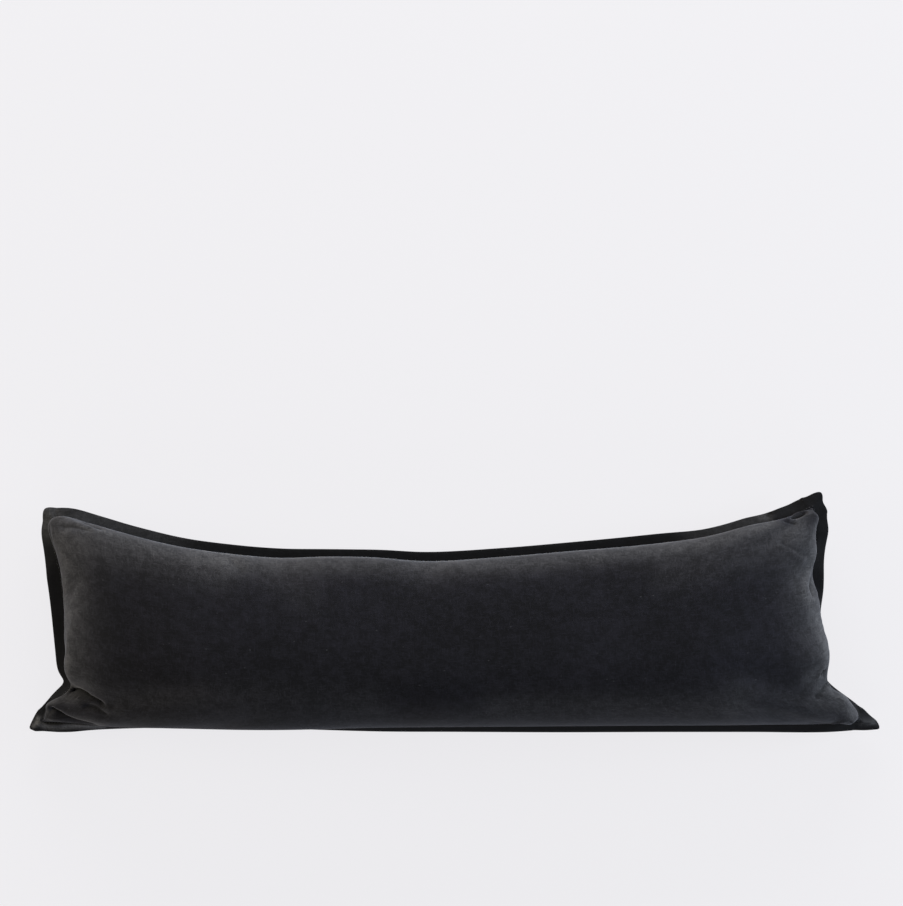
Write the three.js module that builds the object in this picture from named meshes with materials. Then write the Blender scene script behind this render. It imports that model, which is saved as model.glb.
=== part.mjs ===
// A long lumbar pillow in charcoal velvet with a narrow sewn flange, lying on its back.
// It is two pieces: the filled cushion, whose crown and drawn-in sides follow from the size
// of its cut panels, and the flange, the two panels' margins sewn flat outside the stitch line.
// Millimetres. +X runs along the length, +Y to the top edge of the face, and +Z up out of the
// face. The origin is under the middle of the outline, on the surface that the pillow lies on.

import * as THREE from "three";

// Sizes that drive the rest.
const cutHeight = 312; // of a panel between its stitch lines, measured along the cloth
const flangeWidth = 22; // from the stitch line to the flange's edge
const stitchedThickness = 3; // of the two panels where they are stitched together
const edgeThickness = 4.4; // of the flange at its edge, where the seam allowance lies inside it
const sewingGap = 0.3; // between the cushion's rim and the flange
const endLength = 120; // over which the filling thins towards each short side
const endCells = 9; // cells of the mesh over that length
const middleCells = 36; // cells between the two ends
const acrossCells = 18; // cells from the bottom side to the top one
const settle = 0.14; // how far the filling has slid towards the bottom side, from 0 to 1
const backDepth = 74; // of the back under the stitch line, before the surface flattens it
const backLean = 0.1; // the back's bulge as a share of the face's
const wanderPower = 5; // how fast a short side's wander dies out towards the middle

const velvet = { color: 0x2a2b2e, roughness: 0.95, metalness: 0 };

// The stitch line, row by row. x, y and z place it, tilt is how many degrees the flange hangs
// below level there, and bulge is how far the filled face stands out past the stitch line. A
// corner's mitre is how far its flange reaches, as a share of the flange's width: a square
// corner laid out flat has 1.41, and less where the corner has curled.
const corner = {
  bottomLeft: { x: -593, y: -156, z: 36, tilt: 44, bulge: 0, mitre: 1.55 },
  bottomRight: { x: 585, y: -154, z: 34, tilt: 42, bulge: 0, mitre: 2.1 },
  topLeft: { x: -576, y: 136, z: 44, tilt: 48, bulge: 4, mitre: 1.3 },
  topRight: { x: 514, y: 152, z: 42, tilt: 12, bulge: 1, mitre: 1.18 },
};
const side = {
  bottom: [
    corner.bottomLeft,
    { x: -574, y: -156, z: 38, tilt: 40, bulge: 1 },
    { x: -552, y: -157, z: 41, tilt: 46, bulge: 1 },
    { x: -528, y: -158, z: 45, tilt: 58, bulge: 1 },
    { x: -500, y: -160, z: 48, tilt: 70, bulge: 3 },
    { x: -364, y: -158, z: 55, tilt: 74, bulge: 8 },
    { x: -249, y: -159, z: 57, tilt: 72, bulge: 8 },
    { x: -105, y: -159, z: 57, tilt: 60, bulge: 4 },
    { x: 2, y: -158, z: 56, tilt: 55, bulge: 4 },
    { x: 146, y: -158, z: 56, tilt: 53, bulge: 3 },
    { x: 289, y: -157, z: 56, tilt: 51, bulge: 3 },
    { x: 433, y: -157, z: 53, tilt: 50, bulge: 3 },
    { x: 540, y: -157, z: 44, tilt: 46, bulge: 2 },
    corner.bottomRight,
  ],
  top: [
    corner.topLeft,
    { x: -552, y: 136, z: 46, tilt: 50, bulge: 7 },
    { x: -515, y: 125, z: 49, tilt: 46, bulge: 8 },
    { x: -465, y: 109, z: 52, tilt: 40, bulge: 9 },
    { x: -393, y: 89, z: 55, tilt: 24, bulge: 12 },
    { x: -321, y: 78, z: 56, tilt: 12, bulge: 13 },
    { x: -249, y: 72, z: 56, tilt: 8, bulge: 13 },
    { x: -177, y: 71, z: 56, tilt: 6, bulge: 18 },
    { x: -105, y: 70, z: 56, tilt: 6, bulge: 18 },
    { x: -41, y: 67, z: 56, tilt: 8, bulge: 15 },
    { x: 74, y: 73, z: 56, tilt: 8, bulge: 15 },
    { x: 146, y: 79, z: 56, tilt: 8, bulge: 15 },
    { x: 289, y: 93, z: 56, tilt: 14, bulge: 12 },
    { x: 361, y: 103, z: 55, tilt: 36, bulge: 12 },
    { x: 397, y: 114, z: 53, tilt: 47, bulge: 10 },
    { x: 433, y: 125, z: 51, tilt: 49, bulge: 8 },
    { x: 447, y: 126, z: 50, tilt: 44, bulge: 10 },
    { x: 469, y: 131, z: 47, tilt: 30, bulge: 11 },
    { x: 496, y: 143, z: 43, tilt: 36, bulge: 10 },
    corner.topRight,
  ],
  left: [
    corner.bottomLeft,
    { x: -583, y: -140, z: 39, tilt: 58, bulge: 8 },
    { x: -569, y: -124, z: 42, tilt: 57, bulge: 6 },
    { x: -552, y: -111, z: 45, tilt: 53, bulge: 2 },
    { x: -553, y: -80, z: 48, tilt: 34, bulge: 6 },
    { x: -554, y: -38, z: 51, tilt: 18, bulge: 5 },
    { x: -557, y: 8, z: 52, tilt: 10, bulge: 2 },
    { x: -560, y: 36, z: 52, tilt: 8, bulge: 1 },
    { x: -564, y: 66, z: 51, tilt: 10, bulge: 2 },
    { x: -571, y: 92, z: 48, tilt: 34, bulge: 5 },
    { x: -577, y: 114, z: 45, tilt: 42, bulge: 9 },
    corner.topLeft,
  ],
  right: [
    corner.bottomRight,
    { x: 577, y: -141, z: 38, tilt: 66, bulge: 12 },
    { x: 563, y: -127, z: 41, tilt: 72, bulge: 17 },
    { x: 548, y: -116, z: 44, tilt: 74, bulge: 19 },
    { x: 537, y: -105, z: 46, tilt: 74, bulge: 16 },
    { x: 526, y: -92, z: 48, tilt: 74, bulge: 4 },
    { x: 526, y: -78, z: 50, tilt: 74, bulge: 12 },
    { x: 525, y: -57, z: 52, tilt: 74, bulge: 15 },
    { x: 522, y: -23, z: 53, tilt: 74, bulge: 11 },
    { x: 520, y: 4, z: 53, tilt: 70, bulge: 5 },
    { x: 513, y: 22, z: 52, tilt: 36, bulge: 10 },
    { x: 510, y: 40, z: 52, tilt: 14, bulge: 9 },
    { x: 509, y: 57, z: 51, tilt: 10, bulge: 4 },
    { x: 516, y: 92, z: 48, tilt: 42, bulge: 8 },
    { x: 516, y: 111, z: 46, tilt: 12, bulge: 4 },
    { x: 515, y: 130, z: 44, tilt: 15, bulge: 8 },
    corner.topRight,
  ],
};

// The main folds of the face: soft troughs from one point to another, deepest at the first.
const folds = [
  { fromX: -556, fromY: -112, toX: -490, toY: -136, depth: 16, width: 9 },
  { fromX: -584, fromY: -141, toX: -520, toY: -158, depth: 9, width: 7 },
  { fromX: 534, fromY: -92, toX: 486, toY: -104, depth: 12, width: 10 },
  { fromX: 522, fromY: 60, toX: 470, toY: 52, depth: 7, width: 12 },
  { fromX: 506, fromY: 136, toX: 440, toY: 108, depth: 7, width: 9 },
  { fromX: -40, fromY: 84, toX: -48, toY: 30, depth: 6, width: 26 },
];

const lerp = THREE.MathUtils.lerp;
const radians = THREE.MathUtils.degToRad;

// A side as a function of a share from 0 to 1 of its way from its first corner to its last.
function sideCurve(rows, key) {
  const columns = ["x", "y", "z", "tilt", "bulge"];
  const places = rows.map((row) => row[key]);
  const values = rows.flatMap((row) => columns.map((column) => row[column]));
  const smooth = new THREE.CubicInterpolant(places, values, columns.length);
  return (share) => {
    const found = smooth.evaluate(lerp(places[0], places.at(-1), share));
    return Object.fromEntries(columns.map((column, c) => [column, found[c]]));
  };
}
const curve = {
  bottom: sideCurve(side.bottom, "x"),
  top: sideCurve(side.top, "x"),
  left: sideCurve(side.left, "y"),
  right: sideCurve(side.right, "y"),
};

// Steps along the length. turn is the angle round a quarter of an ellipse, from 0 at a short
// side to a right angle where its end is passed, and outward points to the nearer short side.
const outlineLength = corner.bottomRight.x - corner.bottomLeft.x;
const endShare = endLength / outlineLength;
const alongCells = middleCells + 2 * endCells;
const along = Array.from({ length: alongCells + 1 }, (_, i) => {
  const fromEnd = Math.min(i, alongCells - i);
  const turn = (Math.PI / 2) * Math.min(1, fromEnd / endCells);
  const middleSteps = Math.max(0, fromEnd - endCells) / middleCells;
  const near = endShare * (1 - Math.cos(turn)) + middleSteps * (1 - 2 * endShare);
  const outward = Math.sign(2 * i - alongCells);
  return { share: outward > 0 ? 1 - near : near, turn, outward };
});

// Steps from the bottom side to the top one, round half an ellipse.
const across = Array.from({ length: acrossCells + 1 }, (_, j) => {
  const turn = (Math.PI * j) / acrossCells;
  const share = (1 - Math.cos(turn)) / 2;
  return { share, turn: Math.min(turn, Math.PI - turn), outward: share < 0.5 ? -1 : 1 };
});

// The stitch line's own surface: the four sides filled in, in x, y and z.
function sheetPoint(u, v) {
  const bottom = curve.bottom(u);
  const top = curve.top(u);
  const left = curve.left(v);
  const right = curve.right(v);
  const nearLeft = (1 - u) ** wanderPower;
  const nearRight = u ** wanderPower;
  const filled = (axis) =>
    lerp(bottom[axis], top[axis], v) +
    nearLeft * (left[axis] - lerp(corner.bottomLeft[axis], corner.topLeft[axis], v)) +
    nearRight * (right[axis] - lerp(corner.bottomRight[axis], corner.topRight[axis], v));
  return new THREE.Vector3(filled("x"), filled("y"), filled("z"));
}

// A panel of cutHeight whose stitch lines are drawn in to this distance rises by this much.
function crownOver(distance) {
  return Math.sqrt(Math.max(0, (3 / 8) * distance * (cutHeight - distance)));
}

// How far the swing of a rounded edge has to reach for it to stand out past its foot by bulge.
const swing = (bulge, reach) => Math.sqrt((Math.max(0, bulge) * reach) / 2);

function foldDepth(x, y) {
  let depth = 0;
  for (const fold of folds) {
    const from = new THREE.Vector2(fold.fromX, fold.fromY);
    const run = new THREE.Vector2(fold.toX, fold.toY).sub(from);
    const place = new THREE.Vector2(x, y).sub(from);
    const share = THREE.MathUtils.clamp(place.dot(run) / run.lengthSq(), 0, 1);
    const away = place.sub(run.multiplyScalar(share)).length();
    depth += fold.depth * (1 - share) * Math.exp(-((away / fold.width) ** 2));
  }
  return depth;
}

// A point of the face (up 1) or the back (up -1), away from the rim.
function panelPoint(a, c, up) {
  const place = sheetPoint(a.share, c.share);
  const drawnIn = curve.top(a.share).y - curve.bottom(a.share).y;
  const longSide = c.outward < 0 ? curve.bottom(a.share) : curve.top(a.share);
  const shortSide = a.outward < 0 ? curve.left(c.share) : curve.right(c.share);
  const endRise = Math.sin(a.turn);
  const sideRise = Math.sin(c.turn);
  const lean = up > 0 ? 1 : backLean;
  const longSwing = swing(longSide.bulge, drawnIn / 2) * Math.sin(2 * c.turn);
  const shortSwing = swing(shortSide.bulge, endLength) * Math.sin(2 * a.turn);
  place.y += c.outward * lean * longSwing * Math.sqrt(endRise);
  place.x += a.outward * lean * shortSwing * Math.sqrt(sideRise);
  const rise = endRise * sideRise * (1 - settle * (2 * c.share - 1));
  const full = up > 0 ? crownOver(drawnIn) : backDepth;
  place.z += up * (stitchedThickness / 2 + full * rise);
  if (up > 0) place.z -= foldDepth(place.x, place.y) * Math.min(1, 2.5 * rise);
  place.z = Math.max(0, place.z);
  return place;
}

// The stitch line as one ring of stations, anticlockwise seen from above. At each, out is how
// the flange leaves, a unit long but for the mitres, and up stands square to it.
function stitchRing() {
  const last = { i: alongCells, j: acrossCells };
  const ring = [];
  for (let i = 0; i < last.i; i++) ring.push({ i, j: 0, row: curve.bottom(along[i].share) });
  for (let j = 0; j < last.j; j++) ring.push({ i: last.i, j, row: curve.right(across[j].share) });
  for (let i = last.i; i > 0; i--) ring.push({ i, j: last.j, row: curve.top(along[i].share) });
  for (let j = last.j; j > 0; j--) ring.push({ i: 0, j, row: curve.left(across[j].share) });
  const flat = ring.map(({ row }) => new THREE.Vector2(row.x, row.y));
  const { bottomLeft, bottomRight, topLeft, topRight } = corner;
  const atCorner = new Map([
    [0, bottomLeft.mitre],
    [last.i, bottomRight.mitre],
    [last.i + last.j, topRight.mitre],
    [2 * last.i + last.j, topLeft.mitre],
  ]);
  const outOf = (p, q) => new THREE.Vector2(q.y - p.y, p.x - q.x).normalize();
  ring.forEach((station, k) => {
    const before = flat.at(k - 1);
    const after = flat[(k + 1) % ring.length];
    const level = outOf(before, flat[k]).add(outOf(flat[k], after)).normalize();
    const mitre = atCorner.get(k) ?? 1;
    const tilt = radians(station.row.tilt);
    const { x, y, z } = station.row;
    const away = level.multiplyScalar(mitre);
    station.place = new THREE.Vector3(x, y, z);
    station.out = new THREE.Vector3(away.x * Math.cos(tilt), away.y * Math.cos(tilt), -Math.sin(tilt));
    station.up = new THREE.Vector3(away.x * Math.sin(tilt), away.y * Math.sin(tilt), Math.cos(tilt));
  });
  return ring;
}
const ring = stitchRing();

function meshOf(points, quads, name) {
  const geometry = new THREE.BufferGeometry().setFromPoints(points);
  geometry.setIndex(quads.flatMap(([a, b, c, d]) => [a, b, c, a, c, d]));
  geometry.computeVertexNormals();
  const mesh = new THREE.Mesh(geometry, new THREE.MeshStandardMaterial(velvet));
  mesh.name = name;
  return mesh;
}

// The filled cushion: the face, the back, and the narrow rim between them at the stitch line.
function makeCushion() {
  const rowLength = acrossCells + 1;
  const half = (alongCells + 1) * rowLength;
  const index = (i, j, up) => i * rowLength + j + (up > 0 ? 0 : half);
  const points = [1, -1].flatMap((up) => along.flatMap((a) => across.map((c) => panelPoint(a, c, up))));
  for (const { i, j, place, up } of ring) {
    const halfRim = up.clone().multiplyScalar(stitchedThickness / 2);
    points[index(i, j, 1)] = place.clone().add(halfRim);
    points[index(i, j, -1)] = place.clone().sub(halfRim);
  }
  const quads = [];
  for (let i = 0; i < alongCells; i++)
    for (let j = 0; j < acrossCells; j++) {
      quads.push([index(i, j, 1), index(i + 1, j, 1), index(i + 1, j + 1, 1), index(i, j + 1, 1)]);
      quads.push([index(i, j, -1), index(i, j + 1, -1), index(i + 1, j + 1, -1), index(i + 1, j, -1)]);
    }
  ring.forEach((station, k) => {
    const next = ring[(k + 1) % ring.length];
    const { i, j } = station;
    quads.push([index(i, j, -1), index(next.i, next.j, -1), index(next.i, next.j, 1), index(i, j, 1)]);
  });
  return meshOf(points, quads, "cushion");
}

// The flange: one section carried round the stitch line. out is a share of the flange's
// width, and thick its whole thickness there.
function makeFlange() {
  const stitched = stitchedThickness;
  const halfSection = [
    { out: 0, thick: stitched },
    { out: 0.45, thick: stitched + 0.2 },
    { out: 0.86, thick: edgeThickness },
    { out: 1, thick: edgeThickness / 2 },
  ];
  const section = [
    ...halfSection.map(({ out, thick }) => ({ out, rise: thick / 2 })),
    ...halfSection.map(({ out, thick }) => ({ out, rise: -thick / 2 })).reverse(),
  ];
  const points = ring.flatMap(({ place, out, up }) =>
    section.map(({ out: share, rise }) =>
      place
        .clone()
        .addScaledVector(out, sewingGap + share * (flangeWidth - sewingGap))
        .addScaledVector(up, rise),
    ),
  );
  const quads = [];
  ring.forEach((_, k) => {
    const here = k * section.length;
    const next = ((k + 1) % ring.length) * section.length;
    section.forEach((_, s) => {
      const t = (s + 1) % section.length;
      quads.push([here + s, here + t, next + t, next + s]);
    });
  });
  return meshOf(points, quads, "flange");
}

const pillow = new THREE.Group();
pillow.add(makeCushion(), makeFlange());
const middle = new THREE.Box3().setFromObject(pillow).getCenter(new THREE.Vector3());
pillow.position.set(-middle.x, -middle.y, 0);

export default pillow;
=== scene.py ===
import math

import bmesh
import bpy
from mathutils import Matrix, Vector, noise
from mathutils.bvhtree import BVHTree
from mathutils.kdtree import KDTree


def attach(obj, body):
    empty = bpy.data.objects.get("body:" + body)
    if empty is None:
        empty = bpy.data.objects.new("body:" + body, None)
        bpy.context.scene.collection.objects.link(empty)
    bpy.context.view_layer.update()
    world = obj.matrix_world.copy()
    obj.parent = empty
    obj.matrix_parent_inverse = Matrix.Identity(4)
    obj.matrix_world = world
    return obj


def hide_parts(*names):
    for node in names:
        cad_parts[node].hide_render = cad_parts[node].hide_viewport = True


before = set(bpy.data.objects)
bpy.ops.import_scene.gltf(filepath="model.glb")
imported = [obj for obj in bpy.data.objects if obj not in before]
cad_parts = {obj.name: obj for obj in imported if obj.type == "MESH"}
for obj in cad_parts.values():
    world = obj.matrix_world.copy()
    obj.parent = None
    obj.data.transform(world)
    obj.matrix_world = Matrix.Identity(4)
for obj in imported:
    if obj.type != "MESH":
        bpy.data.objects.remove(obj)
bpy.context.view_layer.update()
scene = bpy.context.scene
clothMap = "UVMap"  # each point's place in the flat cloth, in metres
facePanel = 1  # material index, before the paint, of the panel that faces up; the other has 0
seamWeight = 0.9  # above which a smoothed point still counts as one of the seam's
cornerGap = 1e-5  # between two corners of the CAD mesh that are one
strokeStep = 0.002  # between the places along a brushed stroke
print("frame loaded:", ", ".join(sorted(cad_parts)))

# The camera looks down on the face, leaning a little towards its top edge.
cameraSetup = {
    "aimHeight": 0.05,  # of the stitch line over the surface
    "distance": 4.0,
    "lean": math.radians(4),
    "viewSize": 1.301,  # the longer side of the view at the aim, in metres
    "aside": -0.0042,  # how far the middle of the view is from the pillow's, along the length
    "above": 0.2306,  # and towards the top edge
    "sensor": 36,
    "clipEnd": 100,
}


def addObject(name, data):
    added = bpy.data.objects.new(name, data)
    scene.collection.objects.link(added)
    return added


def makeCamera(setup):
    camera = addObject("camera", bpy.data.cameras.new("camera"))
    lean = setup["lean"]
    away = Vector((0, math.sin(lean), math.cos(lean))) * setup["distance"]
    camera.location = Vector((0, 0, setup["aimHeight"])) + away
    camera.rotation_euler = (-lean, 0, 0)
    camera.data.sensor_width = setup["sensor"]
    camera.data.lens = camera.data.sensor_width * setup["distance"] / setup["viewSize"]
    camera.data.shift_x = setup["aside"] / setup["viewSize"]
    camera.data.shift_y = setup["above"] / setup["viewSize"]
    camera.data.clip_end = setup["clipEnd"]
    scene.camera = camera
    print("camera set")


makeCamera(cameraSetup)


# Copies a soft CAD node as a mesh of quads, with its doubled corners merged.
def quadCopy(node, name):
    piece = addObject(name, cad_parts[node].data.copy())
    bm = bmesh.new()
    bm.from_mesh(piece.data)
    bmesh.ops.remove_doubles(bm, verts=bm.verts, dist=cornerGap)
    bmesh.ops.join_triangles(
        bm, faces=bm.faces, angle_face_threshold=math.pi, angle_shape_threshold=math.pi,
        topology_influence=2,
    )
    for face in bm.faces:
        face.smooth = True
    bm.to_mesh(piece.data)
    bm.free()
    piece.data.materials.clear()
    return piece


# Turns a piece's modifiers into its mesh, so that none is left on it.
def applyModifiers(piece):
    graph = bpy.context.evaluated_depsgraph_get()
    done = bpy.data.meshes.new_from_object(piece.evaluated_get(graph))
    worn = piece.data
    piece.modifiers.clear()
    piece.data = done
    bpy.data.meshes.remove(worn)


# Subdivides a piece. Its points are moved out first, so that the smooth surface still passes
# through the places where they were and doesn't shrink.
def smoothOver(piece, levels, turns):
    smoothed = piece.modifiers.new("subdivision", "SUBSURF")
    smoothed.levels = levels
    smoothed.render_levels = levels
    home = [vertex.co.copy() for vertex in piece.data.vertices]
    for turn in range(turns):
        graph = bpy.context.evaluated_depsgraph_get()
        drawn = piece.evaluated_get(graph).data
        missing = [place - drawn.vertices[index].co for index, place in enumerate(home)]
        for vertex, shift in zip(piece.data.vertices, missing):
            vertex.co += shift
        piece.data.update()
    applyModifiers(piece)


def skinOf(mesh):
    bm = bmesh.new()
    bm.from_mesh(mesh)
    skin = BVHTree.FromBMesh(bm)
    bm.free()
    return skin


def treeOf(points):
    tree = KDTree(len(points))
    for index, point in enumerate(points):
        tree.insert(point, index)
    tree.balance()
    return tree


def easeIn(low, high, value):
    share = min(1.0, max(0.0, (value - low) / (high - low)))
    return share * share * (3 - 2 * share)


# Gives the seam's edges a full crease and its points a group, so that neither smoothing nor
# the cloth draws them in. The panel that faces up gets an index of its own.
def markSeam(piece, otherNode, reach):
    other = treeOf([vertex.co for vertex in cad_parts[otherNode].data.vertices])
    onSeam = [v.index for v in piece.data.vertices if other.find(v.co)[2] < reach]
    piece.vertex_groups.new(name="seam").add(onSeam, 1.0, "REPLACE")
    held = set(onSeam)
    bm = bmesh.new()
    bm.from_mesh(piece.data)
    crease = bm.edges.layers.float.new("crease_edge")
    for edge in bm.edges:
        runs = all(v.index in held for v in edge.verts)
        between = [f for f in edge.link_faces if all(v.index in held for v in f.verts)]
        if runs and len(between) == 1:
            edge[crease] = 1.0
    reached = [max(bm.faces, key=lambda face: face.calc_center_median().z)]
    reached[0].material_index = facePanel
    while reached:
        for edge in reached.pop().edges:
            for face in edge.link_faces:
                if edge[crease] == 0 and face.material_index != facePanel:
                    face.material_index = facePanel
                    reached.append(face)
    bm.to_mesh(piece.data)
    bm.free()


# Lays the face's cells out as the flat cloth they were cut from, and gives each corner its
# place there as a UV, in metres. The cells are counted from neighbour to neighbour.
def unrollFace(bm, cloth):
    panel = [face for face in bm.faces if face.material_index == facePanel]
    faces = {face for face in panel if len(face.verts) == 4}
    first = next(face for face in bm.faces if face in faces)
    cell = dict(zip(first.verts, (Vector((0, 0)), Vector((1, 0)), Vector((1, 1)), Vector((0, 1)))))
    waiting = [first]
    faces.discard(first)
    while waiting:
        for loop in waiting.pop().loops:
            a, b = loop.vert, loop.link_loop_next.vert
            before, after = loop.link_loop_prev.vert, loop.link_loop_next.link_loop_next.vert
            beyond = loop.link_loop_radial_next
            if beyond.face not in faces:
                continue
            faces.discard(beyond.face)
            waiting.append(beyond.face)
            cell[beyond.link_loop_next.link_loop_next.vert] = 2 * cell[a] - cell[before]
            cell[beyond.link_loop_prev.vert] = 2 * cell[b] - cell[after]
    steps = [{}, {}]
    runs = [Vector((0, 0, 0)), Vector((0, 0, 0))]
    for edge in bm.edges:
        a, b = edge.verts
        if a in cell and b in cell:
            way = cell[b] - cell[a]
            axis = 0 if abs(way.x) > abs(way.y) else 1
            place = round(min(cell[a][axis], cell[b][axis]))
            steps[axis].setdefault(place, []).append(edge.calc_length())
            runs[axis] += (b.co - a.co) * way[axis]
    sizes = []
    for axis in (0, 1):
        total, far = 0, {}
        for place in sorted(steps[axis]):
            far[place] = total
            total += sum(steps[axis][place]) / len(steps[axis][place])
        far[place + 1] = total
        sizes.append({key: value - total / 2 for key, value in far.items()})
    long = 0 if abs(runs[0].x) > abs(runs[1].x) else 1
    signs = (math.copysign(1, runs[long].x), math.copysign(1, runs[1 - long].y))
    for face in panel:
        for loop in face.loops:
            spot = cell[loop.vert]
            u = sizes[long][round(spot[long])] * signs[0]
            v = sizes[1 - long][round(spot[1 - long])] * signs[1]
            loop[cloth].uv = (u, v)


# A smooth curve through a route's points, cut into short steps.
def smoothRoute(route, step):
    points = [Vector((x, y, 0)) for x, y in route]
    points = [points[0] * 2 - points[1]] + points + [points[-1] * 2 - points[-2]]
    curve = []
    for a, b, c, d in zip(points, points[1:], points[2:], points[3:]):
        count = max(2, round((c - b).length / step))
        for index in range(count):
            t = index / count
            bent = (2 * a - 5 * b + 4 * c - d) * t * t + (3 * b - a - 3 * c + d) * t ** 3
            curve.append(b + ((c - a) * t + bent) / 2)
    curve.append(points[-2])
    return curve


# Painted light and sheen, mixed with the way the pile lies, kept as one value on each point:
# lighter where the cloth turns down at an edge (painted sheen), less of that where it faces the
# lower edge, away from the top lamp, and soft strokes of painted light and highlight, a few of
# them painted shade. A stroke has its route in plan, its reach and its light.
facePaintedLightAndLay = {
    "slopes": (22, 58),  # degrees, between which the turned edge gets its painted sheen
    # how much painted sheen the turned edge gets
    "turned": 0.40,
    "lessBelow": 0.75,  # by how much less painted sheen there is where the cloth faces the lower edge, away from the top lamp
    "strokes": [
        # painted light along the upper edge
        ([(-0.550, 0.118), (-0.450, 0.096), (-0.330, 0.077)], 0.032, 0.42),
        ([(-0.330, 0.078), (-0.220, 0.071), (0.067, 0.072), (0.200, 0.084)], 0.011, 0.18),
        ([(-0.245, 0.060), (-0.210, 0.034)], 0.028, 0.09),
        ([(0.200, 0.085), (0.354, 0.105), (0.420, 0.119), (0.490, 0.132)], 0.010, 0.28),
        ([(0.300, 0.064), (0.420, 0.090), (0.490, 0.110)], 0.026, 0.20),
        # painted shade on the upper edge beside the right corner's hollow
        ([(0.477, 0.145), (0.492, 0.150), (0.508, 0.157)], 0.006, -0.80),
        ([(0.463, 0.137), (0.476, 0.134)], 0.007, -0.60),
        # painted highlights down the two sides
        ([(-0.556, 0.090), (-0.548, 0.020), (-0.542, -0.080)], 0.044, 0.27),
        ([(-0.561, 0.070), (-0.556, 0.000), (-0.553, -0.060)], 0.008, 0.20),
        ([(-0.555, -0.060), (-0.551, -0.098)], 0.007, 0.38),
        ([(0.495, 0.100), (0.490, 0.030), (0.515, -0.050), (0.530, -0.120)], 0.032, 0.22),
        ([(0.510, 0.050), (0.506, 0.030), (0.516, 0.008), (0.530, -0.030),
          (0.537, -0.068)], 0.008, 0.60),
        ([(0.515, 0.088), (0.512, 0.070), (0.506, 0.056), (0.501, 0.042), (0.501, 0.030)], 0.007, 0.55),
        ([(0.530, -0.071), (0.526, -0.080), (0.523, -0.088)], 0.006, 0.45),
        ([(0.542, -0.102), (0.558, -0.118), (0.570, -0.135), (0.572, -0.150)], 0.014, 0.38),
        # painted light above the lower edge
        ([(-0.470, -0.118), (-0.300, -0.116), (-0.120, -0.120)], 0.026, 0.22),
        ([(0.060, -0.124), (0.250, -0.124), (0.400, -0.122)], 0.024, 0.20),
        ([(0.400, -0.122), (0.470, -0.124), (0.550, -0.130)], 0.026, 0.16),
        ([(-0.552, -0.122), (-0.520, -0.145)], 0.018, 0.10),
        ([(-0.520, -0.129), (-0.494, -0.137), (-0.472, -0.139)], 0.008, 0.16),
        ([(-0.579, -0.130), (-0.583, -0.142), (-0.583, -0.155)], 0.007, 0.32),
    ],
}
flangePaintedLightAndLay = {
    "slopes": (35, 70),
    "turned": 0,
    "lessBelow": 0,
    "strokes": [
        # painted light on the flange's corners and along its top
        ([(-0.584, 0.148), (-0.586, 0.120)], 0.014, 0.24),
        ([(-0.570, 0.146), (-0.480, 0.132), (-0.400, 0.114)], 0.026, 0.13),
        ([(0.345, 0.118), (0.390, 0.127), (0.435, 0.138)], 0.020, 0.13),
        ([(0.438, 0.140), (0.450, 0.138)], 0.006, 0.22),
        ([(0.474, 0.152), (0.492, 0.160), (0.515, 0.170)], 0.009, 0.04),
        # painted highlight on the rim that turns up in the lower left corner
        ([(-0.602, -0.156), (-0.599, -0.162), (-0.589, -0.166), (-0.575, -0.166),
          (-0.553, -0.164), (-0.532, -0.164), (-0.508, -0.166)], 0.0046, 0.90),
        ([(-0.602, -0.158), (-0.609, -0.165)], 0.0040, 0.70),
        # painted light on the tip of the lower right corner
        ([(0.590, -0.160), (0.610, -0.160)], 0.006, 0.30),
    ],
}


def paintLightAndLay(piece, look):
    tracks = []
    for route, reach, light in look["strokes"]:
        tracks.append((treeOf(smoothRoute(route, strokeStep)), reach, light))
    lightAndLayValues = piece.data.attributes.new("paintedLightAndLay", "FLOAT", "POINT")
    for vertex in piece.data.vertices:
        slope = math.degrees(math.acos(min(1.0, abs(vertex.normal.z))))
        facing = 1 - look["lessBelow"] * max(0.0, -vertex.normal.y)
        total = look["turned"] * easeIn(*look["slopes"], slope) * facing
        place = Vector((vertex.co.x, vertex.co.y, 0))
        for track, reach, light in tracks:
            total += light * math.exp(-(track.find(place)[2] / reach) ** 2)
        lightAndLayValues.data[vertex.index].value = min(1.0, max(0.0, total))


# The filled cushion: the CAD cushion's own shape, blown up a little as cloth, then creased.
cushionLook = {
    "seamReach": 0.0006,  # from the flange, within which a point is on the seam
    "levels": 2,
    "fitTurns": 2,
    "slack": -0.012,  # a shrink below zero makes the cloth wider than the shape it covers
    "tightFrom": 0.44,  # beyond which the cloth gets slacker towards the two ends
    "tightTo": 0.57,
    "pressure": 4.0,
    "tension": 60,
    "bending": 0.8,
    "damping": 8,
    "mass": 0.3,
    "quality": 8,
    "lastFrame": 20,
    "mostMove": 0.006,
    "evenTurns": 12,
    "keptAtEnds": 0.5,  # how much of the uneven movement stays there
    "relax": 0.5,  # how far a halved cell's corners move to even it out
    "tuckReach": 0.011,  # from a tucked fold, within which the cells are halved again
    "tuckStep": 0.004,
    "fill": 0.8,
}


# Averages each point's movement with its neighbours', except at the two slack ends.
def evenOut(piece, moves, look):
    beside = [[] for vertex in piece.data.vertices]
    for edge in piece.data.edges:
        a, b = edge.vertices
        beside[a].append(b)
        beside[b].append(a)
    even = moves
    for turn in range(look["evenTurns"]):
        even = [
            (even[index] + sum((even[other] for other in near), Vector()) / len(near)) / 2
            for index, near in enumerate(beside)
        ]
    mixed = []
    for vertex, raw, smoothed in zip(piece.data.vertices, moves, even):
        slack = easeIn(look["tightFrom"], look["tightTo"], abs(vertex.co.x))
        mixed.append(smoothed.lerp(raw, look["keptAtEnds"] * slack))
    return mixed


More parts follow.
